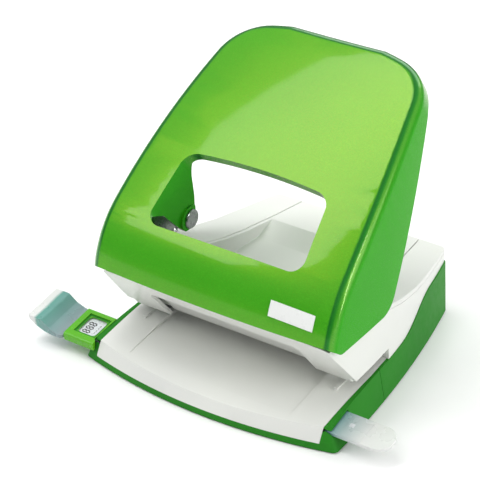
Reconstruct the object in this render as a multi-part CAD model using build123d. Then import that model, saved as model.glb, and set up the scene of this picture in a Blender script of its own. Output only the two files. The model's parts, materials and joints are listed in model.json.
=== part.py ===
"""Two-hole desk punch: pressed lever, white housing on a green base, sliding paper guide.

Millimetres, +Z up. The origin lies on the table under the middle of the base. The paper goes in
from the front, which is -Y, and +X is to the right of someone who stands there.
"""
from build123d import *
import os
from math import cos, hypot, radians, sin

# ---- what the paper asks for ----
HOLE_SPACING = 80.0
HOLE_DIAMETER = 5.5
HOLE_FROM_EDGE = 12.0
PAPER_STOP_Y = -4.0
PUNCH_X = HOLE_SPACING / 2
PUNCH_Y = PAPER_STOP_Y - HOLE_FROM_EDGE

# ---- clearances ----
RUNNING_FIT = 0.05
BODY_GAP = 0.4

# ---- base ----
BASE_FRONT_Y = -48.0
BASE_BULGE = 7.5
BASE_REAR_Y = 55.0
BASE_BOTTOM = 0.5
BASE_TOP = 22.0
BASE_WALL = 2.4
BASE_CORNER = 2.2
RIM_WALL = 1.1
SKIRT_INSET = 0.5
SEAM_Y = -11.5
SEAM_GAP = 0.25
FLOOR_SIDE = ((54.0, BASE_FRONT_Y), (50.6, -4.0), (39.6, BASE_REAR_Y))
TOP_SIDE = ((44.5, BASE_FRONT_Y), (46.6, -4.0), (38.2, BASE_REAR_Y))
RIM_FRONT = (-53.0, 7.2)
RIM_SLOPE = 0.162
RIM_MIDDLE = (-32.0, 10.6)
RIM_BACK = (-8.0, 12.6)
RIM_STEP_START = (7.0, 13.0)
RIM_STEP_END = (36.0, 21.4)

# ---- paper plate ----
PLATE_THICKNESS = 2.0
PLATE_REAR_Y = 1.0
PLATE_FLOOR = 1.3
PLATE_HALF_WIDTH = 47.9
LIP_Z = 3.0
LIP_REAR_Y = -44.0
LIP_DEPTH = 3.4
LIP_LEAN = 0.524
RECESS_HALF_WIDTH = 34.5
RECESS = ((-47.0, 8.05), (-35.5, 9.8), (PLATE_REAR_Y, 11.3))
GUIDE_RIB = (1.2, 8.0, 0.7)
GUIDE_RIB_X = 41.5
GUIDE_RIB_Y = -25.0

# ---- housing ----
HOUSING_LOW = ((50.2, -46.0), (48.4, -5.0), (37.8, BASE_REAR_Y))
HOUSING_HIGH = ((46.9, -46.0), (46.0, 5.0), (37.4, BASE_REAR_Y))
HOUSING_Z = (11.0, 38.0)
HOUSING_WALL = 2.0
THROAT_TOP = (-46.8, 39.4)
THROAT_BOTTOM = (-26.0, 14.6)
SLOT_TOP_Z = 15.2
SIDE_SLOT_TOP_Z = 17.2
LINTEL_BOTTOM_Z = 30.0
ROOF = ((-43.5, 36.4), (-4.0, 34.6), (7.0, 31.6), (21.0, 29.0), (38.0, 27.7), (BASE_REAR_Y, 26.8))
ROOF_OPEN_Y = -4.0
LEVER_WELL = (44.7, -38.5, 33.0)
MOUTH_HALF_WIDTH = 31.5
THROAT_SKIN = 1.6
SEAM_LINE_X = ((31.5, -4.0), (30.2, 24.0), (25.6, BASE_REAR_Y))
VALLEY_FLOOR_Z = 23.8
VALLEY_RAMP = ((26.0, VALLEY_FLOOR_Z), (37.0, 29.0))
CAP_GAP = 0.15

# ---- lever ----
SHEET = 1.3
LEVER_LEAN = 38.0
LEVER_FOOT = (-48.9, 40.0)
LEVER_SHIN = (-45.0, 51.2)
LEVER_KNEE = (-37.0, 61.5)
LEVER_MIDDLE = (-2.0, 88.9)
LEVER_TOP = (34.7, 111.6)
LEVER_BACK = ((39.4, 103.8), (26.2, 97.0), (-9.2, 35.2), (-43.0, 35.6))
LEVER_BACK_RADII = (9.0, 10.0, 4.5)
LEVER_CROWN_Y = 690.0
LEVER_ROLL = 4.0
OUTLINE_SIDE = ((50.5, -14.0), (48.4, 50.0), (40.2, 104.0))
OUTLINE_APEX = 111.4
OUTLINE_CORNER = 21.0
WINDOW_LOW = (32.4, 19.8)
WINDOW_HIGH = (29.6, 49.0)
WINDOW_ARCH = 50.8
WINDOW_CORNERS = (5.0, 6.5)
WINDOW_RIM = 4.4

# ---- lever mechanism ----
FULCRUM = (-40.0, 41.0)
FULCRUM_DIAMETER = 5.0
DRIVE_PIN = (-14.0, 49.6)
DRIVE_PIN_DIAMETER = 4.0
DRIVE_HEAD_DIAMETER = 7.4
DRIVE_HEAD_THICKNESS = 0.9
DRIVE_PIN_END_X = 45.0
BOSS_DIAMETER = 10.4
BOSS_HEIGHT = 0.5
CHEEK_X = 30.9
BRACKET_X = 33.6
BRACKET_THICKNESS = 2.0

# ---- punches and dies ----
PUNCH_TIP_Z = 16.4
PUNCH_HEAD = (8.0, 13.0, 9.0)
PUNCH_SLOT = (7.0, 4.7)
GUIDE_BLOCK = (8.2, 12.0, 12.4)
GUIDE_BLOCK_Z = 18.0
DIE_PLATE_Z = (6.6, 8.6)
DIE_BUSH_DIAMETER = 9.0
SPRING_DIAMETER = 8.6
SPRING_WIRE = 0.9
SPRING_TURNS = 5

# ---- paper guide ----
GUIDE_TILT = 9.5
GUIDE_CENTRE = (-42.2, 7.3)
BAR_ACROSS = (-4.4, 7.3)
BAR_THICKNESS = 1.4
STRIP_THICKNESS = 0.3
STOP_ACROSS = (-8.5, 8.7)
STOP_INNER_X = -68.5
STOP_OUTER_X = -78.4
STOP_HEIGHT = 4.6
TONGUE_END_X = 72.0
FRAME_X = (-62.9, -49.4)
FRAME_ACROSS = (-7.7, 8.4)
FRAME_TOP = 2.0
FRAME_BOTTOM = -1.2
FRAME_WINDOW_X = (-59.6, -51.6)
FRAME_WINDOW_ACROSS = (-3.7, 5.2)
FRAME_BEZEL = (0.9, 0.5)

# ---- chip cover ----
COVER_HINGE = (47.0, 4.6)
COVER_THICKNESS = 1.2
COVER_PIN_DIAMETER = 2.4

PARTS = "parts"
LEFT, RIGHT = -1, 1
SIDES = {"left": LEFT, "right": RIGHT}


def write(name, shape):
    export_step(shape, f"{PARTS}/{name}.step")


def side_view(face, x_low, x_high):
    """Extrude a face drawn in (Y, Z) from x_low to x_high."""
    return extrude(Plane.YZ.offset(x_low) * face, amount=x_high - x_low)


def rod_x(x_low, x_high, y, z, diameter):
    """A round rod along X."""
    disc = Plane.YZ.offset(x_low) * Pos(y, z) * Circle(diameter / 2)
    return extrude(disc, amount=x_high - x_low)


def rod_z(x, y, z_low, z_high, diameter):
    """A round rod along Z."""
    return Pos(x, y, z_low) * extrude(Circle(diameter / 2), amount=z_high - z_low)


def block(x, y, z):
    """A box from three (low, high) pairs."""
    size = [high - low for low, high in (x, y, z)]
    centre = [(high + low) / 2 for low, high in (x, y, z)]
    return Pos(*centre) * Box(*size)


def on_side(sign, shape):
    """The shape as drawn for the right side, or its mirror image for the left."""
    return shape if sign == RIGHT else mirror(shape, about=Plane.YZ)


def plan_outline(side, front_bulge=0.0, corner=3.0, inset=0.0):
    """A plan face with curved sides, from the right side's front, middle and rear points."""
    front, middle, rear = side
    front = (front[0] - inset, front[1] + inset)
    middle = (middle[0] - inset, middle[1])
    rear = (rear[0] - inset, rear[1] - inset)
    left = [(-x, y) for x, y in (front, middle, rear)]
    edges = [
        ThreePointArc(front, middle, rear),
        Line(rear, left[2]),
        ThreePointArc(left[2], left[1], left[0]),
    ]
    if front_bulge:
        edges.append(ThreePointArc(left[0], (0, front[1] - front_bulge), front))
    else:
        edges.append(Line(left[0], front))
    face = make_face(edges)
    return fillet(face.vertices(), max(corner - inset, 0.5))


def base_block(inset):
    """The base's full outer form, shrunk sideways by inset."""
    low = plan_outline(FLOOR_SIDE, BASE_BULGE, BASE_CORNER, inset)
    high = plan_outline(TOP_SIDE, BASE_BULGE, BASE_CORNER, inset)
    return loft([Pos(0, 0, BASE_BOTTOM) * low, Pos(0, 0, BASE_TOP) * high])


def rim_line(drop):
    """The base's rim seen from the side, front to rear, lowered by drop."""
    def at(point):
        return (point[0], point[1] - drop)
    front = (RIM_FRONT[0] - 7, RIM_FRONT[1] - 7 * RIM_SLOPE)
    middle_y = (RIM_STEP_START[0] + RIM_STEP_END[0]) / 2
    middle_z = (RIM_STEP_START[1] + RIM_STEP_END[1]) / 2
    return [
        Line(at(front), at(RIM_FRONT)),
        ThreePointArc(at(RIM_FRONT), at(RIM_MIDDLE), at(RIM_BACK)),
        Line(at(RIM_BACK), at(RIM_STEP_START)),
        Spline(at(RIM_STEP_START), at((middle_y, middle_z)), at(RIM_STEP_END),
               tangents=[(1, 0.05), (1, 0.0)]),
        Line(at(RIM_STEP_END), at((BASE_REAR_Y + 5, RIM_STEP_END[1]))),
    ]


def under_rim(drop=0.0):
    """Everything below the rim line, as a slab across the base."""
    edges = rim_line(drop)
    start = edges[0] @ 0
    end = edges[-1] @ 1
    edges.append(Polyline((end.X, end.Y), (end.X, -20), (start.X, -20), (start.X, start.Y)))
    return side_view(make_face(edges), -70, 70)


def y_slab(y_low, y_high):
    return block((-90, 90), (y_low, y_high), (-20, 130))


def guide_plane(x=0.0):
    """The tilted plane of the guide bar; its local Y runs back and up across the bar."""
    lean = radians(GUIDE_TILT)
    return Plane(origin=(x, *GUIDE_CENTRE), x_dir=(1, 0, 0), z_dir=(0, -sin(lean), cos(lean)))


def guide_box(x, across, up):
    """A box along the guide bar, from (low, high) pairs."""
    size = [high - low for low, high in (x, across, up)]
    centre = [(high + low) / 2 for low, high in (x, across, up)]
    return guide_plane() * Pos(*centre) * Box(*size)


def guide_passage(gap, x_low, x_high):
    """The space that the sliding bar needs, with a gap all round it."""
    across = (BAR_ACROSS[0] - gap, BAR_ACROSS[1] + gap)
    up = BAR_THICKNESS / 2 + gap
    return guide_box((x_low, x_high), across, (-up, up))


def above_rim(drop):
    return block((-70, 70), (-80, 80), (-20, 60)) - under_rim(drop)


def across_plate(gap, y_low, y_high, z_low):
    """The space between the base's side rims, from z_low up."""
    half = PLATE_HALF_WIDTH + gap
    return block((-half, half), (y_low, y_high), (z_low, 60))


def front_slope():
    """What the sloping front lip cuts away; the slope keeps parallel to the curved front."""
    half = FLOOR_SIDE[0][0]
    radius = (half ** 2 + BASE_BULGE ** 2) / (2 * BASE_BULGE)
    centre_y = BASE_FRONT_Y - BASE_BULGE + radius
    height = 30.0
    cone = Pos(0, centre_y, LIP_Z + height / 2) * Cone(radius, radius - LIP_LEAN * height, height)
    return block((-70, 70), (-80, LIP_REAR_Y + 4), (LIP_Z, LIP_Z + height)) - cone


def make_base():
    """The front and rear mouldings of the green base: walls only, open below."""
    walls = base_block(0) & under_rim()
    walls -= base_block(BASE_WALL)
    ledge = base_block(RIM_WALL) & above_rim(PLATE_THICKNESS + 0.1)
    walls -= ledge & across_plate(0.1, -80, PLATE_REAR_Y + 0.2, 0)
    front = walls & y_slab(-80, SEAM_Y - SEAM_GAP / 2)
    front -= across_plate(0.1, -80, LIP_REAR_Y, LIP_Z)
    front -= front_slope()
    front -= guide_passage(BODY_GAP, -80, 80)
    rear = walls & y_slab(SEAM_Y + SEAM_GAP / 2, 80)
    for sign in SIDES.values():
        rear += screw_post(sign)
    for lug in make_pin_lugs():
        rear += lug
    return front, rear


def make_skirt():
    """A rubber skirt under the base's walls, all round; the punch stands on it."""
    ring = base_block(SKIRT_INSET) - base_block(BASE_WALL)
    foot = ring & block((-80, 80), (-80, 80), (BASE_BOTTOM, 2 * BASE_BOTTOM))
    return Pos(0, 0, -BASE_BOTTOM) * foot


def screw_post(sign):
    """A post of the rear moulding, under the die plate."""
    z = (4.4, DIE_PLATE_Z[0])
    arm = block((20, 48), (14.5, 17), z) & base_block(0.5)
    return on_side(sign, rod_z(26, 13, *z, 7) + arm)


def make_paper_plate():
    """The white plate that the paper slides over, with its recess, ribs and sloping front lip."""
    between = across_plate(0, -80, PLATE_REAR_Y, LIP_Z)
    skin = base_block(RIM_WALL + 0.1) & under_rim() & above_rim(PLATE_THICKNESS) & between
    lip = (base_block(0) - base_block(LIP_DEPTH)) & under_rim()
    lip &= across_plate(0, -80, LIP_REAR_Y, LIP_Z)
    front_y, rear_y = RECESS[0][0], RECESS[-1][0]
    recess = make_face(Polyline(*RECESS, (rear_y, 20), (front_y, 20), close=True))
    recess_tool = side_view(recess, -RECESS_HALF_WIDTH, RECESS_HALF_WIDTH)
    below = [(y, z - PLATE_FLOOR) for y, z in reversed(RECESS)]
    floor = make_face(Polyline(*RECESS, *below, close=True))
    floor = side_view(floor, -RECESS_HALF_WIDTH - 1.5, RECESS_HALF_WIDTH + 1.5)
    plate = skin + lip + (floor & base_block(RIM_WALL + 0.1))
    plate -= front_slope()
    plate -= recess_tool
    plate -= guide_passage(0.2, -80, 80)
    for sign in SIDES.values():
        plate -= rod_z(sign * PUNCH_X, PUNCH_Y, 0, 20, DIE_BUSH_DIAMETER + 0.1)
        plate += Pos(sign * GUIDE_RIB_X, GUIDE_RIB_Y, 11.2) * Box(GUIDE_RIB[0], GUIDE_RIB[1], 1.6)
    return plate


def housing_block(inset):
    """The housing's full outer form, shrunk sideways by inset."""
    sections = []
    for side, z in zip((HOUSING_LOW, HOUSING_HIGH), HOUSING_Z):
        sections.append(Pos(0, 0, z) * plan_outline(side, 0, 2.5, inset))
    return loft(sections) + extrude(sections[1], amount=6)


def housing_side(inset):
    """The housing's outline from the side; inset shrinks it at its roof and its sloping front."""
    front_top = [THROAT_TOP, ROOF[0]]
    if inset:
        front_top = [(THROAT_TOP[0] + 2.9 * inset, ROOF[0][1] - inset)]
    below = -5.0
    throat_low = (THROAT_BOTTOM[0] + 1.35 * inset, THROAT_BOTTOM[1] if not inset else THROAT_BOTTOM[1] - 1)
    roof = [(y, z - inset) for y, z in ROOF[1:]]
    roof[-1] = (BASE_REAR_Y + 5, roof[-1][1])
    rear = PAPER_STOP_Y + inset
    slot_z = SLOT_TOP_Z if not inset else THROAT_BOTTOM[1] - 1
    points = [*front_top[:1], throat_low, (rear, slot_z), (rear, below), (BASE_REAR_Y + 5, below),
              *reversed(roof), *front_top[1:]]
    return make_face(Polyline(*points, close=True))


def seam_face(shift):
    """The plan area between the two cap seams, widened by shift."""
    right = [(x + shift, y) for x, y in SEAM_LINE_X]
    right[-1] = (right[-1][0], BASE_REAR_Y + 5)
    left = [(-x, y) for x, y in reversed(right)]
    return make_face(Polyline(*right, *left, close=True))


def make_housing():
    """The white housing: side walls, rear wall and sloping front with the mouth for the paper."""
    shell = housing_block(0) & side_view(housing_side(0), -60, 60) & above_rim(0)
    shell -= housing_block(HOUSING_WALL) & side_view(housing_side(HOUSING_WALL), -60, 60)
    well_x, well_y, well_z = LEVER_WELL
    shell -= block((-well_x, well_x), (well_y, ROOF_OPEN_Y), (well_z, 60))
    width = MOUTH_HALF_WIDTH
    mouth = make_face(Polyline((-width, LINTEL_BOTTOM_Z), (width, LINTEL_BOTTOM_Z), (width, -1),
                               (-width, -1), close=True))
    mouth = fillet(mouth.vertices().group_by(Axis.Y)[-1], 2.5)
    shell -= extrude(Plane.XZ.offset(60) * mouth, amount=-55)
    for sign in SIDES.values():
        shell -= on_side(sign, block((46.4, 60), (-60, PAPER_STOP_Y), (0, SIDE_SLOT_TOP_Z)))
    # the roof behind the lever is taken by the caps and the centre cover
    shell -= block((-60, 60), (ROOF_OPEN_Y, BASE_REAR_Y + 5), (0, 60)) & roof_layer()
    shell -= block((-44.1, 44.1), (PAPER_STOP_Y - 0.1, PAPER_STOP_Y + HOUSING_WALL + 0.1), (0, 20))
    return shell.solids().sort_by(SortBy.VOLUME)[-1]


def roof_layer():
    """The top skin behind the lever, as thick as the housing's wall."""
    top = side_view(housing_side(0), -60, 60)
    under = side_view(housing_side(0), -60, 60).moved(Location((0, 0, -HOUSING_WALL)))
    return top - under


def make_caps():
    """The two tower caps and the centre cover with its sunken bay."""
    layer = roof_layer() & housing_block(0.0) & y_slab(ROOF_OPEN_Y, BASE_REAR_Y)
    layer -= side_view(Rectangle(400, 40), -60, 60)
    towers = layer - extrude(seam_face(CAP_GAP), amount=60)
    caps = {}
    for side, sign in SIDES.items():
        half = block((0, 60) if sign > 0 else (-60, 0), (-20, 70), (0, 60))
        caps[side] = (towers & half).solids().sort_by(SortBy.VOLUME)[-1]
    centre = layer & extrude(seam_face(-CAP_GAP), amount=60)
    tub = extrude(seam_face(-CAP_GAP), amount=60)
    tub &= block((-60, 60), (ROOF_OPEN_Y, VALLEY_RAMP[1][0] + 1.6), (VALLEY_FLOOR_Z - 1.6, 60))
    tub &= side_view(housing_side(0), -60, 60)
    sunk = make_face(Polyline((-30, VALLEY_FLOOR_Z), *VALLEY_RAMP, (VALLEY_RAMP[1][0], 60), (-30, 60),
                              close=True))
    inner = extrude(seam_face(-CAP_GAP - 1.6), amount=60) & side_view(sunk, -60, 60)
    centre = (centre + tub) - inner
    return caps, centre


def make_throat():
    """The sloping guide above the paper slot, drilled for the punches."""
    y_back = PAPER_STOP_Y - 0.1
    low_z = SLOT_TOP_Z
    points = [(-38.2, 33.0), (-35.6, 33.0), (-21.6, low_z + THROAT_SKIN), (y_back, low_z + THROAT_SKIN),
              (y_back, low_z), (-23.0, low_z)]
    plate = side_view(make_face(Polyline(*points, close=True)), -45.4, 45.4)
    for sign in SIDES.values():
        plate -= rod_z(sign * PUNCH_X, PUNCH_Y, 0, 40, HOLE_DIAMETER + 0.8)
        wing = block((MOUTH_HALF_WIDTH + 0.4, 60), (-60, -22.0), (0, 60))
        plate -= on_side(sign, wing)
    return plate


def make_paper_stop():
    """The wall that the paper's edge meets, behind the slot."""
    y = (PAPER_STOP_Y, PAPER_STOP_Y + 1.6)
    in_recess = block((0.1 - RECESS_HALF_WIDTH, RECESS_HALF_WIDTH - 0.1), y, (11.25, 14))
    return block((-44.0, 44.0), y, (12.85, 17.0)) + in_recess


# ---- chassis and punches ----
def make_die_plate():
    """The steel plate under the paper plate, which carries the dies and the side brackets."""
    plate = block((-44.0, 44.0), (-24.0, 19.0), DIE_PLATE_Z)
    plate = fillet(plate.edges().filter_by(Axis.Z), 3)
    for sign in SIDES.values():
        plate -= rod_z(sign * PUNCH_X, PUNCH_Y, 0, 20, DIE_BUSH_DIAMETER - 2.0)
        plate -= rod_z(sign * 26, 13, 0, 20, 3.2)
    return plate


def make_die_bush(sign):
    """A hardened ring let into the paper plate; the punch passes through it."""
    bush = rod_z(sign * PUNCH_X, PUNCH_Y, DIE_PLATE_Z[1], 12.3, DIE_BUSH_DIAMETER)
    return bush - rod_z(sign * PUNCH_X, PUNCH_Y, 0, 20, HOLE_DIAMETER + 2 * RUNNING_FIT)


def make_bracket(sign):
    """A C-shaped side bracket that reaches over the slot to the fulcrum."""
    nose_y, nose_z = FULCRUM
    low = DIE_PLATE_Z[1]
    outline = [(1.4, low), (18.0, low), (18.0, 24.0), (-2.0, 31.0), (-20.0, 34.5),
               (nose_y + 4.5, nose_z + 4.2), (nose_y - 4.5, nose_z + 2.0), (nose_y - 3.5, nose_z - 4.1),
               (nose_y + 2.0, nose_z - 4.1), (-33.5, 32.0), (-21.0, 19.0), (1.4, 17.8)]
    face = make_face(Polyline(*outline, close=True))
    face = fillet(face.vertices(), 1.5)
    plate = side_view(face, BRACKET_X, BRACKET_X + BRACKET_THICKNESS)
    plate -= rod_x(20, 50, nose_y, nose_z, FULCRUM_DIAMETER + 2 * RUNNING_FIT)
    foot = block((BRACKET_X - 11, BRACKET_X + 1), (5.6, 17.4), (low, low + BRACKET_THICKNESS))
    foot -= rod_z(26, 13, 0, 20, 3.2)
    return on_side(sign, plate + foot)


def make_guide_block(sign):
    """A bored block on the bracket's arm that keeps its punch upright."""
    x_size, y_size, z_size = GUIDE_BLOCK
    body = Pos(PUNCH_X - 0.2, PUNCH_Y, GUIDE_BLOCK_Z + z_size / 2) * Box(x_size, y_size, z_size)
    body = chamfer(body.edges().filter_by(Axis.Z), 0.8)
    body -= rod_z(PUNCH_X, PUNCH_Y, 0, 60, HOLE_DIAMETER + 2 * RUNNING_FIT)
    return on_side(sign, body)


def make_punch(sign):
    """A punch with its slotted head; the drive pin runs in the slot."""
    x_size, y_size, z_size = PUNCH_HEAD
    pin_z = DRIVE_PIN[1]
    rod = rod_z(PUNCH_X, PUNCH_Y, PUNCH_TIP_Z, pin_z, HOLE_DIAMETER)
    notch = side_view(make_face(Polyline((PUNCH_Y, PUNCH_TIP_Z + 1.6), (PUNCH_Y - 4, PUNCH_TIP_Z - 1),
                                         (PUNCH_Y + 4, PUNCH_TIP_Z - 1), close=True)), 30, 50)
    head = Pos(PUNCH_X, PUNCH_Y + 1.2, pin_z) * Box(x_size, y_size, z_size)
    head = chamfer(head.edges().filter_by(Axis.X), 1.0)
    slot = Pos(PUNCH_X, DRIVE_PIN[0] + 0.75, pin_z) * Box(x_size + 2, *PUNCH_SLOT)
    return on_side(sign, (rod - notch) + head - slot)


def make_spring(sign):
    """A coil spring between the guide block and the punch head."""
    low = GUIDE_BLOCK_Z + GUIDE_BLOCK[2] + SPRING_WIRE / 2 + 0.05
    high = DRIVE_PIN[1] - PUNCH_HEAD[2] / 2 - SPRING_WIRE / 2 - 0.05
    radius = (SPRING_DIAMETER - SPRING_WIRE) / 2
    path = Helix(pitch=(high - low) / SPRING_TURNS, height=high - low, radius=radius)
    profile = Plane(origin=path @ 0, z_dir=path % 0) * Circle(SPRING_WIRE / 2)
    coil = sweep(profile, path=path)
    return on_side(sign, Pos(PUNCH_X, PUNCH_Y, low) * coil)


# ---- lever ----
def circle_through(a, b, c):
    """Centre and radius of the circle through three points in a plane."""
    arc = ThreePointArc(a, b, c)
    centre = arc.arc_center
    return (centre.X, centre.Y), arc.radius


def lever_side(shift=(0.0, 0.0), open_back=0.0):
    """The lever's outline from the side; open_back pushes the rear edge out of the way."""
    def at(point):
        return (point[0] + shift[0], point[1] + shift[1])
    back = LEVER_BACK
    if open_back:
        back = tuple((y + open_back, z - open_back) for y, z in LEVER_BACK)
        back = (back[0], back[1], back[2], (back[3][0] - open_back, back[3][1]))
    rear = FilletPolyline(at(LEVER_TOP), *back, at(LEVER_FOOT), radius=[3.0, *LEVER_BACK_RADII])
    edges = [
        ThreePointArc(at(LEVER_FOOT), at(LEVER_SHIN), at(LEVER_KNEE)),
        ThreePointArc(at(LEVER_KNEE), at(LEVER_MIDDLE), at(LEVER_TOP)),
        *rear.edges(),
    ]
    return make_face(edges)


def lever_plane():
    lean = radians(LEVER_LEAN)
    return Plane(origin=(0, *LEVER_FOOT), x_dir=(1, 0, 0), z_dir=(0, -sin(lean), cos(lean)))


def lever_outline(inset):
    """The lever's outline in the plane of its panel, made narrower by inset."""
    side = [(x - inset, y) for x, y in OUTLINE_SIDE]
    left = [(-x, y) for x, y in side]
    face = make_face([
        ThreePointArc(*side),
        ThreePointArc(side[2], (0, OUTLINE_APEX - inset), left[2]),
        ThreePointArc(left[2], left[1], left[0]),
        Line(left[0], side[0]),
    ])
    return fillet(face.vertices().group_by(Axis.Y)[-1], OUTLINE_CORNER - inset)


def lever_prism(face):
    """A face in the lever's panel, extruded well past the panel both ways."""
    return extrude(lever_plane() * face, amount=70, both=True)


def revolved(face):
    """The side outline swung round a far upright axis, which gives the panel its crown."""
    axis = Axis((0, LEVER_CROWN_Y, 0), (0, 0, 1))
    swing = 5.5
    start = Plane.YZ * face
    start = start.rotate(axis, -swing)
    return revolve(start, axis=axis, revolution_arc=2 * swing)


def on_panel_front(edge, shift):
    """Whether an edge runs along the front of the lever's panel."""
    for t in (0.25, 0.5, 0.75):
        point = edge @ t
        y = LEVER_CROWN_Y - hypot(point.X, LEVER_CROWN_Y - point.Y) - shift[0]
        z = point.Z - shift[1]
        hits = 0
        for arc in ((LEVER_FOOT, LEVER_SHIN, LEVER_KNEE), (LEVER_KNEE, LEVER_MIDDLE, LEVER_TOP)):
            (cy, cz), radius = circle_through(*arc)
            if abs(hypot(y - cy, z - cz) - radius) < 0.05:
                hits += 1
        if not hits:
            return False
    return True


def lever_blank(inset):
    """The lever's full form, with its front edges rolled; inset gives the hollow inside it."""
    shift = (inset * 0.66, -inset * 0.8)
    side = lever_side(shift, open_back=12.0 if inset else 0.0)
    blank = revolved(side) & lever_prism(lever_outline(inset))
    blank = blank.solids().sort_by(SortBy.VOLUME)[-1]
    roll = [edge for edge in blank.edges()
            if edge.length > 8 and (abs((edge @ 0.5).X) > 30 or (edge @ 0.5).Z > 100)
            and on_panel_front(edge, shift)]
    return fillet(roll, LEVER_ROLL - inset)


def window_face(inset=0.0):
    """The window in the lever's panel, made smaller by inset."""
    low_x, low_y = WINDOW_LOW[0] - inset, WINDOW_LOW[1] + inset
    high_x, high_y = WINDOW_HIGH[0] - inset, WINDOW_HIGH[1] - inset
    face = make_face([
        Line((-low_x, low_y), (low_x, low_y)),
        Line((low_x, low_y), (high_x, high_y)),
        ThreePointArc((high_x, high_y), (0, WINDOW_ARCH - inset), (-high_x, high_y)),
        Line((-high_x, high_y), (-low_x, low_y)),
    ])
    face = fillet(face.vertices().sort_by(Axis.Y)[:2], WINDOW_CORNERS[0] - inset)
    upper = [v for v in face.vertices() if abs(v.Y - high_y) < 0.01]
    return fillet(upper, WINDOW_CORNERS[1] - inset)


def cheek_side():
    """The window collar seen from the side: a thin rim, and the cheeks down to the drive pins."""
    pin_y, pin_z = DRIVE_PIN
    lobe = 4.0
    rim = WINDOW_RIM
    points = [(-48.0, 66.0), (-8.0, 97.0), (-11.6 + rim * 0.62, 82.2 - rim * 0.79), (-15.0, 73.5),
              (-13.6, 67.0), (-11.6, 58.0), (pin_y + lobe * 0.75, pin_z + 2.6),
              (pin_y + lobe, pin_z - 1.0), (pin_y + 1.5, pin_z - lobe), (pin_y - 3.2, pin_z - 4.0),
              (-20.5, 48.8), (-28.5, 57.0), (-34.5, 59.4)]
    face = make_face(Polyline(*points, close=True))
    return fillet(face.vertices().sort_by(Axis.X)[2:], 1.8)


def make_lever():
    """The pressed lever: panel, rolled flanges, window, and the cheeks bent back from it."""
    shell = lever_blank(0.0) - lever_blank(SHEET)
    shell = shell.solids().sort_by(SortBy.VOLUME)[-1]
    collar = lever_prism(window_face(-SHEET)) - lever_prism(window_face())
    collar &= side_view(cheek_side(), -40, 40)
    inside = revolved(lever_side((SHEET * 0.4, -SHEET * 0.5), open_back=12.0))
    collar &= inside
    lever = shell - lever_prism(window_face(0.0)) + collar
    for sign in SIDES.values():
        boss = rod_x(CHEEK_X - BOSS_HEIGHT, CHEEK_X + SHEET / 2, *DRIVE_PIN, BOSS_DIAMETER)
        lever += on_side(sign, boss & side_view(cheek_side(), -40, 40))
        lever -= on_side(sign, rod_x(CHEEK_X - 6, CHEEK_X + 6, *DRIVE_PIN, DRIVE_PIN_DIAMETER))
    return lever


# ---- lever hardware ----
def make_drive_pin(sign):
    """A headed pin through the cheek, which drives the punch head."""
    inner = CHEEK_X - BOSS_HEIGHT
    head = rod_x(inner - DRIVE_HEAD_THICKNESS, inner, *DRIVE_PIN, DRIVE_HEAD_DIAMETER)
    head = chamfer(head.edges().sort_by(Axis.X)[0], 0.3)
    shank = rod_x(inner, DRIVE_PIN_END_X, *DRIVE_PIN, DRIVE_PIN_DIAMETER)
    return on_side(sign, head + shank)


def make_fulcrum_axle():
    half = OUTLINE_SIDE[0][0] - SHEET - 0.12
    axle = rod_x(-half, half, *FULCRUM, FULCRUM_DIAMETER)
    for sign in SIDES.values():
        x = BRACKET_X - 1.4
        groove = rod_x(x, x + 0.8, *FULCRUM, 8) - rod_x(x, x + 0.8, *FULCRUM, FULCRUM_DIAMETER - 1.4)
        axle -= on_side(sign, groove)
    return axle


def make_axle_clip(sign):
    """A spring clip in the axle's groove, beside the bracket."""
    x = BRACKET_X - 1.35
    clip = rod_x(x, x + 0.7, *FULCRUM, 8.6) - rod_x(x, x + 0.7, *FULCRUM, FULCRUM_DIAMETER - 1.3)
    y, z = FULCRUM
    clip -= block((x - 1, x + 2), (y - 1.6, y + 1.6), (z - 8, z))
    return on_side(sign, clip)


def make_badge():
    """A blank badge that lies on the lower right of the panel."""
    face = lever_plane() * Pos(33.8, 6.9) * Rectangle(17.2, 4.9)
    tool = extrude(face, amount=40, both=True)
    skin = revolved(lever_side((-0.5 * 0.9, 0.5 * 0.42), open_back=0.0)) & tool
    skin -= revolved(lever_side())
    return skin.solids().sort_by(SortBy.VOLUME)[-1]


# ---- paper guide ----
def make_guide_bar():
    """The clear bar with its upturned stop on the left and a rounded tongue on the right."""
    half = BAR_THICKNESS / 2
    top = half + STOP_HEIGHT
    foot_x = STOP_INNER_X + 3.5
    over = FilletPolyline((TONGUE_END_X, half), (foot_x, half), (STOP_INNER_X - 0.5, half + 1.6),
                          (STOP_INNER_X - 3.7, top), (STOP_OUTER_X, top), radius=[4.0, 2.0, 1.6])
    side = make_face([
        *over.edges(),
        Line((STOP_OUTER_X, top), (STOP_OUTER_X, top - 1.4)),
        ThreePointArc((STOP_OUTER_X, top - 1.4), (STOP_OUTER_X + 4.0, 0.9), (foot_x, -half)),
        Line((foot_x, -half), (TONGUE_END_X, -half)),
        Line((TONGUE_END_X, -half), (TONGUE_END_X, half)),
    ])
    profile = extrude(Plane.XZ * side, amount=20, both=True)
    bar_y = sum(BAR_ACROSS) / 2
    bar_width = BAR_ACROSS[1] - BAR_ACROSS[0]
    tongue = Pos(TONGUE_END_X - 50, bar_y) * RectangleRounded(100, bar_width, 5.5)
    strip = Pos(-30, bar_y) * Rectangle(90, bar_width)
    stop_width = STOP_ACROSS[1] - STOP_ACROSS[0]
    stop_length = FRAME_X[0] - 1 - STOP_OUTER_X
    stop = Pos(STOP_OUTER_X + stop_length / 2, sum(STOP_ACROSS) / 2)
    stop *= RectangleRounded(stop_length + 1, stop_width, 1.5)
    cutter = extrude(Pos(0, 0, -20) * (tongue + strip + stop), amount=40)
    return guide_plane() * (profile & cutter) - make_format_strip()


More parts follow.
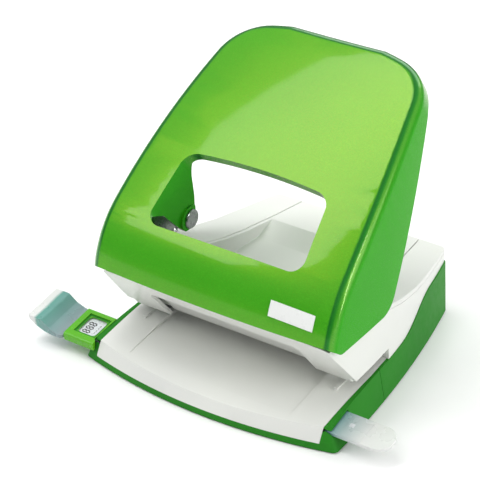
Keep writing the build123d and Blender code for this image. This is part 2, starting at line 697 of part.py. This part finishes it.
def make_format_strip():
    """The printed strip let into the top of the bar; the frame's window shows one format."""
    across = (BAR_ACROSS[0] + 1.0, BAR_ACROSS[1] - 1.0)
    top = BAR_THICKNESS / 2
    return guide_box((-62, 40), across, (top - STRIP_THICKNESS, top))


def make_guide_frame():
    """The green frame at the base's left side, which holds the bar and shows the format."""
    low_x, high_x = FRAME_X
    frame = guide_box(FRAME_X, FRAME_ACROSS, (FRAME_BOTTOM, FRAME_TOP))
    frame = fillet(frame.edges().filter_by(Axis.X).sort_by(Axis.Z)[-2:], 0.9)
    frame -= guide_passage(0.35, low_x - 1, high_x + 1)
    window = guide_box(FRAME_WINDOW_X, FRAME_WINDOW_ACROSS, (0, 5))
    upright = guide_plane().z_dir
    corners = [edge for edge in window.edges() if abs((edge % 0.5).dot(upright)) > 0.99]
    frame -= fillet(corners, 1.6)
    wide, deep = FRAME_BEZEL
    bezel_x = (FRAME_WINDOW_X[0] - wide, FRAME_WINDOW_X[1] + wide)
    bezel_across = (FRAME_WINDOW_ACROSS[0] - wide, FRAME_WINDOW_ACROSS[1] + wide)
    frame -= guide_box(bezel_x, bezel_across, (FRAME_TOP - deep, 5))
    frame -= base_block(0)
    return frame.solids().sort_by(SortBy.VOLUME)[-1]


# ---- chip cover ----
def make_chip_cover():
    """The inset bottom of the base, which swings down on its rear pin to empty the chips."""
    y_hinge, z_hinge = COVER_HINGE
    gap = BODY_GAP
    z_low = BASE_BOTTOM + 0.1
    inner = base_block(BASE_WALL + gap)
    rear_y = y_hinge - 6.0
    floor = inner & block((-80, 80), (-60, rear_y), (z_low, z_low + COVER_THICKNESS))
    rim = inner & block((-80, 80), (-31, rear_y - 2), (z_low, z_low + 2.9))
    rim -= base_block(BASE_WALL + gap + 1.2) & block((-80, 80), (-29.8, rear_y - 3.2), (0, 20))
    cover = floor + rim
    for x in (-16, 16):
        arm = side_view(make_face(Polyline(
            (rear_y - 1, z_low), (y_hinge - 2.4, z_low), (y_hinge + 2.2, z_hinge - 1.0),
            (y_hinge + 2.2, z_hinge + 2.2), (y_hinge - 2.2, z_hinge + 2.2), (rear_y - 1, z_low + 2),
            close=True)), x - 3, x + 3)
        arm -= rod_x(x - 5, x + 5, y_hinge, z_hinge, COVER_PIN_DIAMETER + 2 * RUNNING_FIT)
        cover += arm
    return cover


def make_cover_pin():
    return rod_x(-24, 24, *COVER_HINGE, COVER_PIN_DIAMETER)


def make_pin_lugs():
    """Two lugs of the rear moulding that hold the cover's pin."""
    y, z = COVER_HINGE
    lugs = []
    for x in (-21.5, 21.5):
        lug = block((x - 1.6, x + 1.6), (y - 2.6, BASE_REAR_Y - 1.0), (z - 2.4, z + 3.0))
        lugs.append(lug - rod_x(x - 3, x + 3, y, z, COVER_PIN_DIAMETER))
    return lugs


def make_screws():
    """Two screws that hold the die plate and brackets to the rear moulding."""
    screws = []
    for sign in SIDES.values():
        top = DIE_PLATE_Z[1] + 2
        screws.append(rod_z(sign * 26, 13, top, top + 1.6, 5.6) + rod_z(sign * 26, 13, 7.0, top, 3.0))
    return Compound(screws)


if __name__ == "__main__":
    os.makedirs(PARTS, exist_ok=True)
    base_front, base_rear = make_base()
    caps, centre_cover = make_caps()
    nodes = {
        "lever": make_lever(),
        "label_badge": make_badge(),
        "fulcrum_axle": make_fulcrum_axle(),
        "base_front": base_front,
        "base_rear": base_rear,
        "rubber_skirt": make_skirt(),
        "paper_plate": make_paper_plate(),
        "housing": make_housing(),
        "centre_cover": centre_cover,
        "throat_guide": make_throat(),
        "paper_stop": make_paper_stop(),
        "die_plate": make_die_plate(),
        "guide_bar": make_guide_bar(),
        "format_strip": make_format_strip(),
        "guide_frame": make_guide_frame(),
        "chip_cover": make_chip_cover(),
        "cover_hinge_pin": make_cover_pin(),
        "chassis_screws": make_screws(),
    }
    for side, sign in SIDES.items():
        nodes[f"tower_cap_{side}"] = caps[side]
        nodes[f"side_bracket_{side}"] = make_bracket(sign)
        nodes[f"punch_guide_{side}"] = make_guide_block(sign)
        nodes[f"punch_{side}"] = make_punch(sign)
        nodes[f"return_spring_{side}"] = make_spring(sign)
        nodes[f"die_bush_{side}"] = make_die_bush(sign)
        nodes[f"drive_pin_{side}"] = make_drive_pin(sign)
        nodes[f"axle_clip_{side}"] = make_axle_clip(sign)
    for name, shape in nodes.items():
        write(name, shape)
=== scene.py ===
"""Looks for the desk punch: materials, softened edges, small details, studio and camera."""
import json
from math import cos, radians, sin

import bmesh
import bpy
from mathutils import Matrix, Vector


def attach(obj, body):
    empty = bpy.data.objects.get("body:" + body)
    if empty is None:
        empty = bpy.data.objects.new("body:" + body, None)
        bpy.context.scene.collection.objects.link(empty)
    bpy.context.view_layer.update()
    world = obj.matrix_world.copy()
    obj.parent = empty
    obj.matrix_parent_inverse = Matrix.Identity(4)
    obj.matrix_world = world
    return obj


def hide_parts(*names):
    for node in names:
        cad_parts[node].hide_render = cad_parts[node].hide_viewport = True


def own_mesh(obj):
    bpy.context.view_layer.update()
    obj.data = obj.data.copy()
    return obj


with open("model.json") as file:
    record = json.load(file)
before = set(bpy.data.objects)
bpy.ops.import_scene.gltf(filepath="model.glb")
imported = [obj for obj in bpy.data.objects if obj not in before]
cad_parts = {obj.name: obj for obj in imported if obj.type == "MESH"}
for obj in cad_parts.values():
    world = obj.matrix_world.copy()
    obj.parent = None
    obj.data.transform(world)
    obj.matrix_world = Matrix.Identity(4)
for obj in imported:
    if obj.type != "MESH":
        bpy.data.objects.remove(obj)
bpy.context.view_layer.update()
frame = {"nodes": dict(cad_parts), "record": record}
MM = 0.001

# ---- rounded edges of the softened copies, in metres ----
EDGE = 0.35 * MM
FRAME_EDGE = 0.2 * MM
BADGE_EDGE = 0.1 * MM
BAR_EDGE = 0.25 * MM
LEVER_EDGE = 0.5 * MM
SOFT_SEGMENTS = 2
SOFT_ANGLE = radians(28)
MERGE_DISTANCE = 2e-6
FLAT_ANGLE = radians(0.6)

# ---- guide bar: where it lies, and what is on it in millimetres along, across and above its top ----
GUIDE_TILT = radians(9.5)
GUIDE_CENTRE = Vector((0.0, -42.2 * MM, 7.3 * MM))
BAR_TOP = 0.7 * MM
PRINT_LAYER = (0.0, 0.03)
DIGIT_COUNT = 3
DIGIT_X = -56.9
DIGIT_START = -2.6
DIGIT_PITCH = 2.15
DIGIT_HEIGHT = 3.0
DIGIT_WIDTH = 1.7
DIGIT_STROKE = 0.5
TICK_COUNT = 4
TICK_X = (-53.6, -53.35)
TICK_START = -1.6
TICK_PITCH = 1.3
TICK_LENGTH = 0.7
TONGUE_BLOCK = ((53.6, 61.8), (-4.0, 6.6), (-0.1, 0.13))
TONGUE_BUMP = ((54.6, 56.4), (1.0, 2.8), (0.0, 0.17))
WINDOW = ((-59.65, -51.55), (-3.75, 5.25))
BEZEL_WIDTH = 0.8
BEZEL_LAYER = (0.81, 0.84)

# ---- camera ----
VIEW_AZIMUTH = radians(34.40)
VIEW_ELEVATION = radians(29.93)
VIEW_DISTANCE = 0.64995
VIEW_TARGET = Vector((0.0, -0.027, 0.05674))
LENS = 140.65
SENSOR = 36

# ---- studio, in metres and watts ----
FLOOR_HALF = 3.0
SOFTBOX_PLACE = (-0.514, -0.441, 0.87)
SOFTBOX_SIZE = (0.336, 1.40)
SOFTBOX_POWER = 7.3
SOFTBOX_TURN = -radians(31.5)
AIMED_LIGHTS = {  # place, target, size and power
    "right": ((0.98, 0.05, 0.36), (0, 0, 0.05), (0.5, 0.6), 1.9),
    "strip": ((0.94, -0.15, 0.44), (0, 0, 0.07), (0.05, 0.80), 2.4),
    "back": ((-0.1, 0.9, 0.7), (0, 0, 0.06), (1.0, 0.5), 4.5),
}
SKY_STRENGTH = 0.72
SKY_STOPS = ((0.25, 0.35), (0.60, 1.0))

# ---- colours, linear ----
LIME_LIGHT = (0.060, 0.435, 0.016, 1)
LIME_DEEP = (0.022, 0.330, 0.007, 1)
BASE_GREEN = (0.026, 0.225, 0.018, 1)
BASE_GREEN_DARK = (0.020, 0.195, 0.015, 1)
FRAME_LIME = (0.12, 0.46, 0.012, 1)
FRAME_LIME_DARK = (0.09, 0.40, 0.010, 1)
SHELL_WHITE = (0.76, 0.77, 0.73, 1)
SHELL_SHADE = (0.72, 0.73, 0.70, 1)
TRAY_GREY = (0.34, 0.38, 0.36, 1)
TRAY_SHADE = (0.28, 0.32, 0.30, 1)
BADGE_WHITE = (0.84, 0.86, 0.84, 1)
BADGE_SHADE = (0.80, 0.82, 0.80, 1)
FILM_LIGHT = (0.74, 0.77, 0.79, 1)
FILM_SHADE = (0.60, 0.64, 0.66, 1)
GUIDE_PALE = (0.80, 0.81, 0.79, 1)
GUIDE_TEAL = (0.11, 0.36, 0.30, 1)
STEEL = (0.42, 0.43, 0.44, 1)
STEEL_DARK = (0.26, 0.27, 0.28, 1)
ZINC = (0.50, 0.51, 0.52, 1)
ZINC_DARK = (0.38, 0.39, 0.41, 1)
WIRE = (0.56, 0.56, 0.57, 1)
WIRE_DARK = (0.40, 0.40, 0.42, 1)


# ---- node helpers ----
class Graph:
    """A new material with a Principled shader, and short ways to add nodes to it."""

    def __init__(self, name, **values):
        self.material = bpy.data.materials.new(name)
        self.material.use_nodes = True
        self.tree = self.material.node_tree
        self.shader = self.tree.nodes["Principled BSDF"]
        for key, value in values.items():
            self.shader.inputs[key.replace("_", " ")].default_value = value

    def node(self, kind, **values):
        made = self.tree.nodes.new(kind)
        for key, value in values.items():
            name = key.replace("_", " ")
            if name in made.inputs:
                made.inputs[name].default_value = value
            else:
                setattr(made, key, value)
        return made

    def link(self, source, target):
        self.tree.links.new(source, target)

    def place(self):
        """Where a point is in the row frame; it moves with its part."""
        return self.node("ShaderNodeTexCoord").outputs["Object"]

    def noise(self, scale, detail=3.0, roughness=0.5):
        made = self.node("ShaderNodeTexNoise", Scale=scale, Detail=detail, Roughness=roughness)
        self.link(self.place(), made.inputs["Vector"])
        return made.outputs["Fac"]

    def coordinate(self, kind, axis):
        """One axis of the "Object" place or of the surface's own "Normal", which turns with its part."""
        split = self.node("ShaderNodeSeparateXYZ")
        self.link(self.node("ShaderNodeTexCoord").outputs[kind], split.inputs["Vector"])
        return split.outputs[axis]

    def calculate(self, kind, a, b=None):
        made = self.node("ShaderNodeMath", operation=kind)
        self.link(a, made.inputs[0])
        if b is not None:
            self.link(b, made.inputs[1])
        return made.outputs[0]

    def multiply(self, a, b):
        mix = self.node("ShaderNodeMix", data_type="RGBA", blend_type="MULTIPLY")
        mix.inputs[0].default_value = 1.0
        self.link(a, mix.inputs[6])
        self.link(b, mix.inputs[7])
        return mix.outputs[2]

    def ramp(self, value, stops):
        """A colour from a list of (position, colour) stops, in rising order."""
        made = self.node("ShaderNodeValToRGB")
        elements = made.color_ramp.elements
        for element, (position, colour) in zip(elements, stops[:2]):
            element.position, element.color = position, colour
        for position, colour in stops[2:]:
            elements.new(position).color = colour
        self.link(value, made.inputs["Fac"])
        return made.outputs["Color"]

    def span(self, value, low, high, to_low, to_high):
        """The value from low to high, stretched to run from to_low to to_high."""
        made = self.node("ShaderNodeMapRange", From_Min=low, From_Max=high, To_Min=to_low, To_Max=to_high)
        self.link(value, made.inputs["Value"])
        return made.outputs["Result"]

    def bump(self, height, strength, distance):
        made = self.node("ShaderNodeBump", Strength=strength, Distance=distance)
        self.link(height, made.inputs["Height"])
        return made.outputs["Normal"]

    def feed(self, source, name):
        self.link(source, self.shader.inputs[name])


def grey(value):
    """An even grey of one brightness."""
    return (value, value, value, 1)


# ---- materials ----
def lever_paint():
    """Metallic lime lacquer: flakes that glint yellow under a clear coat, with painted shade and a
    painted dark reflection on its rolls and cheeks.
    """
    g = Graph("lever_paint", Metallic=0.10, Coat_Roughness=0.05)
    flakes = g.noise(2600, 2.0, 0.7)
    patches = g.noise(26, 2.0)
    side = g.calculate("ABSOLUTE", g.coordinate("Normal", "X"))
    over = g.span(g.coordinate("Normal", "Z"), 0.90, 0.97, 0.0, 0.34)
    base = g.ramp(flakes, [(0.36, LIME_DEEP), (0.62, LIME_LIGHT)])
    tint = g.ramp(patches, [(0.3, grey(0.94)), (0.7, grey(1.0))])
    # how far the surface turns off the panel: 0 on the panel, 1 on the cheeks
    roll = g.calculate("MAXIMUM", side, over)
    # painted shade: the base colour darkens with surface direction on the rolls and cheeks, standing in
    # for shade and dark reflections
    roll_painted_shade = g.ramp(roll, [(0.10, grey(1.0)), (0.26, (0.20, 0.36, 1.0, 1)), (0.46, (0.30, 0.48, 1.0, 1)),
                           (0.68, (0.75, 0.85, 0.85, 1)), (0.97, (0.70, 0.90, 1.0, 1))])
    glint = g.ramp(roll, [(0.10, (0.70, 0.14, 0.01, 1)), (0.26, (0.02, 0.22, 0.06, 1)),
                          (0.50, (0.05, 0.40, 0.10, 1)), (0.62, (0.90, 0.90, 0.30, 1)),
                          (0.80, (0.90, 0.90, 0.30, 1))])
    g.feed(g.multiply(g.multiply(base, tint), roll_painted_shade), "Base Color")
    g.feed(glint, "Specular Tint")
    g.feed(g.span(flakes, 0.3, 0.7, 0.30, 0.20), "Roughness")
    g.feed(g.span(side, 0.80, 0.97, 0.85, 0.10), "Specular IOR Level")
    g.feed(g.span(side, 0.80, 0.97, 0.35, 0.0), "Coat Weight")
    g.feed(g.bump(flakes, 0.10, 0.02 * MM), "Normal")
    return g.material


def moulded(name, main, shade, roughness, grain, strength, **values):
    """A moulded plastic: slow shade changes, a fine spark-eroded grain and faint scuffs."""
    g = Graph(name, **values)
    slow = g.noise(18, 2.0)
    fine = g.noise(grain, 4.0, 0.65)
    scuffs = g.noise(240, 6.0, 0.8)
    g.feed(g.ramp(slow, [(0.35, shade), (0.65, main)]), "Base Color")
    g.feed(g.span(scuffs, 0.35, 0.7, roughness - 0.06, roughness + 0.08), "Roughness")
    g.feed(g.bump(fine, strength, 0.03 * MM), "Normal")
    return g.material


def clear_guide():
    """Frosted teal plastic: the colour is deepest at the stop, and the deep teal where the tongue leaves
    the base is painted shade.
    """
    g = Graph("clear_guide", IOR=1.49, Transmission_Weight=0.15, Coat_Weight=0.3, Coat_Roughness=0.12)
    cloud = g.noise(90, 3.0)
    wobble = g.span(cloud, 0.3, 0.7, -0.3 * MM, 0.3 * MM)
    along = g.calculate("ADD", g.coordinate("Object", "X"), wobble)
    place = g.span(along, -80 * MM, 80 * MM, 0.0, 1.0)
    # the dark teal stop at 0.81 (x about 50 mm), where the tongue passes into the base, is painted shade
    g.feed(g.ramp(place, [(0.027, GUIDE_PALE), (0.034, GUIDE_TEAL), (0.060, (0.17, 0.35, 0.33, 1)),
                          (0.105, (0.28, 0.34, 0.37, 1)), (0.81, (0.12, 0.32, 0.32, 1)),
                          (0.845, (0.46, 0.56, 0.55, 1)), (0.89, GUIDE_PALE)]), "Base Color")
    g.feed(g.span(cloud, 0.3, 0.7, 0.22, 0.36), "Roughness")
    return g.material


def steel(name, main, dark, stretch):
    """Metal with a fine grain, drawn out into lines along an axis where its stretch is smaller."""
    g = Graph(name, Metallic=1.0)
    mapping = g.node("ShaderNodeMapping", Scale=stretch)
    g.link(g.place(), mapping.inputs["Vector"])
    lines = g.node("ShaderNodeTexNoise", Scale=1.0, Detail=4.0, Roughness=0.7)
    g.link(mapping.outputs["Vector"], lines.inputs["Vector"])
    g.feed(g.ramp(lines.outputs["Fac"], [(0.35, dark), (0.65, main)]), "Base Color")
    g.feed(g.span(lines.outputs["Fac"], 0.3, 0.7, 0.22, 0.40), "Roughness")
    g.feed(g.bump(lines.outputs["Fac"], 0.15, 0.02 * MM), "Normal")
    return g.material


def label_film():
    """Silver-white printed film."""
    g = Graph("label_film", Metallic=0.15, Coat_Weight=0.3, Coat_Roughness=0.15)
    fine = g.noise(1500, 2.0)
    g.feed(g.ramp(fine, [(0.35, FILM_SHADE), (0.65, FILM_LIGHT)]), "Base Color")
    g.feed(g.span(fine, 0.3, 0.7, 0.28, 0.42), "Roughness")
    return g.material


def printed_ink():
    """Black ink, nearly even."""
    g = Graph("printed_ink")
    fine = g.noise(1800, 2.0)
    g.feed(g.ramp(fine, [(0.3, grey(0.012)), (0.7, grey(0.03))]), "Base Color")
    g.feed(g.span(fine, 0.3, 0.7, 0.45, 0.6), "Roughness")
    return g.material


def rubber():
    """Black rubber with a coarse, dull skin."""
    g = Graph("rubber")
    fine = g.noise(900, 5.0, 0.7)
    g.feed(g.ramp(fine, [(0.3, grey(0.018)), (0.7, grey(0.035))]), "Base Color")
    g.feed(g.span(fine, 0.3, 0.7, 0.65, 0.85), "Roughness")
    g.feed(g.bump(fine, 0.4, 0.05 * MM), "Normal")
    return g.material


def floor_paint():
    """The pale, dull studio floor."""
    g = Graph("floor_paint")
    fine = g.noise(40, 3.0)
    g.feed(g.ramp(fine, [(0.3, grey(0.93)), (0.7, grey(0.95))]), "Base Color")
    g.feed(g.span(fine, 0.3, 0.7, 0.75, 0.9), "Roughness")
    return g.material


PAINT = lever_paint()
GREEN = moulded("base_green", BASE_GREEN, BASE_GREEN_DARK, 0.48, 1500, 0.22, IOR=1.18)
LIME = moulded("frame_lime", FRAME_LIME, FRAME_LIME_DARK, 0.26, 1500, 0.06,
               Specular_IOR_Level=0.35, Coat_Weight=0.1, Coat_Roughness=0.08)
WHITE = moulded("white_shell", SHELL_WHITE, SHELL_SHADE, 0.36, 1800, 0.16,
                Coat_Weight=0.12, Coat_Roughness=0.2)
TRAY = moulded("chip_tray", TRAY_GREY, TRAY_SHADE, 0.40, 1500, 0.12)
BADGE = moulded("badge_white", BADGE_WHITE, BADGE_SHADE, 0.30, 1800, 0.08)
CLEAR = clear_guide()
FILM = label_film()
INK = printed_ink()
TURNED = steel("turned_steel", STEEL, STEEL_DARK, (900, 900, 900))
PLATED = steel("plated_steel", ZINC, ZINC_DARK, (60, 900, 900))
SPRING = steel("spring_wire", WIRE, WIRE_DARK, (400, 400, 1400))
RUBBER = rubber()

FINISH = {
    "lever": PAINT, "label_badge": BADGE, "fulcrum_axle": TURNED,
    "base_front": GREEN, "base_rear": GREEN, "rubber_skirt": RUBBER,
    "paper_plate": WHITE, "housing": WHITE, "throat_guide": WHITE, "paper_stop": WHITE,
    "centre_cover": WHITE, "die_plate": PLATED, "guide_bar": CLEAR, "format_strip": FILM,
    "guide_frame": LIME, "chip_cover": TRAY, "cover_hinge_pin": TURNED, "chassis_screws": TURNED,
}
for side in ("left", "right"):
    FINISH.update({
        f"tower_cap_{side}": WHITE, f"side_bracket_{side}": PLATED, f"punch_guide_{side}": PLATED,
        f"punch_{side}": TURNED, f"return_spring_{side}": SPRING, f"die_bush_{side}": TURNED,
        f"drive_pin_{side}": TURNED, f"axle_clip_{side}": SPRING,
    })


def paint(obj, material):
    """Puts one material on an object."""
    obj.data.materials.clear()
    obj.data.materials.append(material)


for name, material in FINISH.items():
    paint(frame["nodes"][name], material)


# ---- softened copies of the moulded and pressed parts ----
def body_of(node):
    """The body that a node moves with."""
    for body, members in frame["record"]["behaviour"]["bodies"].items():
        if node in members:
            return body


def softened(node, width):
    """A copy of a node with small rounded edges, which stands for the node."""
    source = frame["nodes"][node]
    mesh = source.data.copy()
    piece = bpy.data.objects.new(node + "_soft", mesh)
    bpy.context.scene.collection.objects.link(piece)
    work = bmesh.new()
    work.from_mesh(mesh)
    bmesh.ops.remove_doubles(work, verts=work.verts, dist=MERGE_DISTANCE)
    bmesh.ops.dissolve_limit(work, angle_limit=FLAT_ANGLE, verts=work.verts, edges=work.edges)
    for face in work.faces:
        face.smooth = True
    work.to_mesh(mesh)
    work.free()
    if mesh.has_custom_normals:
        bpy.context.view_layer.objects.active = piece
        with bpy.context.temp_override(object=piece, active_object=piece):
            bpy.ops.mesh.customdata_custom_splitnormals_clear()
    bevel = piece.modifiers.new("edges", "BEVEL")
    bevel.width = width
    bevel.segments = SOFT_SEGMENTS
    bevel.limit_method = "ANGLE"
    bevel.angle_limit = SOFT_ANGLE
    bevel.use_clamp_overlap = True
    bevel.harden_normals = True
    evaluated = piece.evaluated_get(bpy.context.evaluated_depsgraph_get())
    baked = bpy.data.meshes.new_from_object(evaluated)
    piece.modifiers.clear()
    piece.data = baked
    paint(piece, FINISH[node])
    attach(piece, body_of(node))
    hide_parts(node)


SOFT_EDGES = {
    "base_front": EDGE, "base_rear": EDGE, "paper_plate": EDGE, "housing": EDGE,
    "throat_guide": EDGE, "centre_cover": EDGE, "tower_cap_left": EDGE, "tower_cap_right": EDGE,
    "guide_frame": FRAME_EDGE, "label_badge": BADGE_EDGE, "guide_bar": BAR_EDGE, "lever": LEVER_EDGE,
}
for name, width in SOFT_EDGES.items():
    softened(name, width)


# ---- copies of the return springs, which move with their bodies ----
def squashing_spring(side):
    """A copy of a return spring that stands for it and moves with its body."""
    node = f"return_spring_{side}"
    piece = bpy.data.objects.new(node + "_coil", frame["nodes"][node].data.copy())
    bpy.context.scene.collection.objects.link(piece)
    paint(piece, SPRING)
    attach(piece, body_of(node))
    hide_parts(node)
    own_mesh(piece)


squashing_spring("left")
squashing_spring("right")


# ---- small details on the guide: generic digits, raised shapes on the tongue, and a dark ring of painted shade round the window ----
def on_guide(x, across, up):
    """A point in the row frame from a place along, across and above the tilted guide bar."""
    back = Vector((0, cos(GUIDE_TILT), sin(GUIDE_TILT)))
    out = Vector((0, -sin(GUIDE_TILT), cos(GUIDE_TILT)))
    return GUIDE_CENTRE + Vector((x, 0, 0)) * MM + across * MM * back + (BAR_TOP + up * MM) * out


def bars(name, boxes, material, body, round_off=0.0):
    """One mesh of small boxes, each (low, high) along, across and above the guide bar."""
    work = bmesh.new()
    for along, across, up in boxes:
        corners = [work.verts.new(on_guide(a, b, c)) for c in up for b in across for a in along]
        for loop in ((0, 2, 3, 1), (4, 5, 7, 6), (0, 1, 5, 4), (2, 6, 7, 3), (0, 4, 6, 2), (1, 3, 7, 5)):
            work.faces.new([corners[k] for k in loop])
    bmesh.ops.recalc_face_normals(work, faces=work.faces)
    if round_off:
        bmesh.ops.bevel(work, geom=work.edges, offset=round_off, segments=3, affect="EDGES", profile=0.5)
    mesh = bpy.data.meshes.new(name)
    work.to_mesh(mesh)
    work.free()
    piece = bpy.data.objects.new(name, mesh)
    bpy.context.scene.collection.objects.link(piece)
    paint(piece, material)
    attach(piece, body)


def digit_eight(across):
    """The seven bars of an 8 whose top points to -X, from a start across the guide bar."""
    half = DIGIT_HEIGHT / 2
    gap = DIGIT_STROKE * 0.3
    inner = (across + DIGIT_STROKE, across + DIGIT_WIDTH - DIGIT_STROKE)
    boxes = []
    for line in (DIGIT_X - half, DIGIT_X, DIGIT_X + half):
        boxes.append(((line - DIGIT_STROKE / 2, line + DIGIT_STROKE / 2), inner, PRINT_LAYER))
    for side in (across, across + DIGIT_WIDTH - DIGIT_STROKE):
        for start in (DIGIT_X - half, DIGIT_X):
            boxes.append(((start + gap, start + half - gap), (side, side + DIGIT_STROKE), PRINT_LAYER))
    return boxes


def tick(across):
    """A short printed line across the guide bar."""
    return (TICK_X, (across, across + TICK_LENGTH), PRINT_LAYER)


def window_ring():
    """Four bars round the window, with its own size as their inner edge; their dark green is painted
    shade standing in for the window's sloped bezel.
    """
    (left, right), (front, rear) = WINDOW
    full = (front - BEZEL_WIDTH, rear + BEZEL_WIDTH)
    return [
        ((left - BEZEL_WIDTH, left), full, BEZEL_LAYER),
        ((right, right + BEZEL_WIDTH), full, BEZEL_LAYER),
        ((left, right), (front - BEZEL_WIDTH, front), BEZEL_LAYER),
        ((left, right), (rear, rear + BEZEL_WIDTH), BEZEL_LAYER),
    ]


digits = [box for k in range(DIGIT_COUNT) for box in digit_eight(DIGIT_START + DIGIT_PITCH * k)]
ticks = [tick(TICK_START + TICK_PITCH * k) for k in range(TICK_COUNT)]
bars("format_print", digits + ticks, INK, "guide")
bars("tongue_block", [TONGUE_BLOCK], CLEAR, "guide", 0.05 * MM)
bars("tongue_bump", [TONGUE_BUMP], FILM, "guide", 0.03 * MM)
# painted shade: a flat dark green ring where the window's sloped bezel would fall in shade
bars("window_bezel_painted_shade", window_ring(), GREEN, "root")


# ---- stage, lights and camera ----
def area_light(name, place, size, power):
    """A rectangular light that shines straight down."""
    data = bpy.data.lights.new(name, "AREA")
    data.shape = "RECTANGLE"
    data.size, data.size_y = size
    data.energy = power
    lamp = bpy.data.objects.new(name, data)
    lamp.location = place
    bpy.context.scene.collection.objects.link(lamp)
    return lamp


def aimed_light(name, place, target, size, power):
    """A rectangular light that points at a place."""
    lamp = area_light(name, place, size, power)
    lamp.rotation_euler = (Vector(target) - Vector(place)).to_track_quat("-Z", "Y").to_euler()


def make_floor():
    """A wide flat floor under the punch."""
    work = bmesh.new()
    bmesh.ops.create_grid(work, x_segments=4, y_segments=4, size=FLOOR_HALF)
    mesh = bpy.data.meshes.new("floor")
    work.to_mesh(mesh)
    work.free()
    floor = bpy.data.objects.new("floor", mesh)
    bpy.context.scene.collection.objects.link(floor)
    paint(floor, floor_paint())


def make_camera():
    """The camera, on its distance and two angles from the target."""
    data = bpy.data.cameras.new("camera")
    data.lens = LENS
    data.sensor_width = SENSOR
    data.clip_start = 0.01
    data.clip_end = 20
    camera = bpy.data.objects.new("camera", data)
    back = Vector((sin(VIEW_AZIMUTH) * cos(VIEW_ELEVATION), -cos(VIEW_AZIMUTH) * cos(VIEW_ELEVATION),
                   sin(VIEW_ELEVATION)))
    camera.location = VIEW_TARGET + VIEW_DISTANCE * back
    camera.rotation_euler = (-back).to_track_quat("-Z", "Y").to_euler()
    bpy.context.scene.collection.objects.link(camera)
    bpy.context.scene.camera = camera


def make_world():
    """A white sky that darkens towards the horizon, as in a light tent that is open in front."""
    world = bpy.data.worlds.new("studio")
    world.use_nodes = True
    tree = world.node_tree
    place = tree.nodes.new("ShaderNodeTexCoord")
    split = tree.nodes.new("ShaderNodeSeparateXYZ")
    ramp = tree.nodes.new("ShaderNodeValToRGB")
    for element, (position, value) in zip(ramp.color_ramp.elements, SKY_STOPS):
        element.position, element.color = position, grey(value)
    tree.links.new(place.outputs["Generated"], split.inputs["Vector"])
    tree.links.new(split.outputs["Z"], ramp.inputs["Fac"])
    tree.links.new(ramp.outputs["Color"], tree.nodes["Background"].inputs["Color"])
    tree.nodes["Background"].inputs["Strength"].default_value = SKY_STRENGTH
    bpy.context.scene.world = world


make_floor()
make_camera()
softbox = area_light("softbox", SOFTBOX_PLACE, SOFTBOX_SIZE, SOFTBOX_POWER)
softbox.rotation_euler = (0, 0, SOFTBOX_TURN)
for name, settings in AIMED_LIGHTS.items():
    aimed_light(name, *settings)
make_world()
bpy.context.scene.view_settings.view_transform = "Standard"
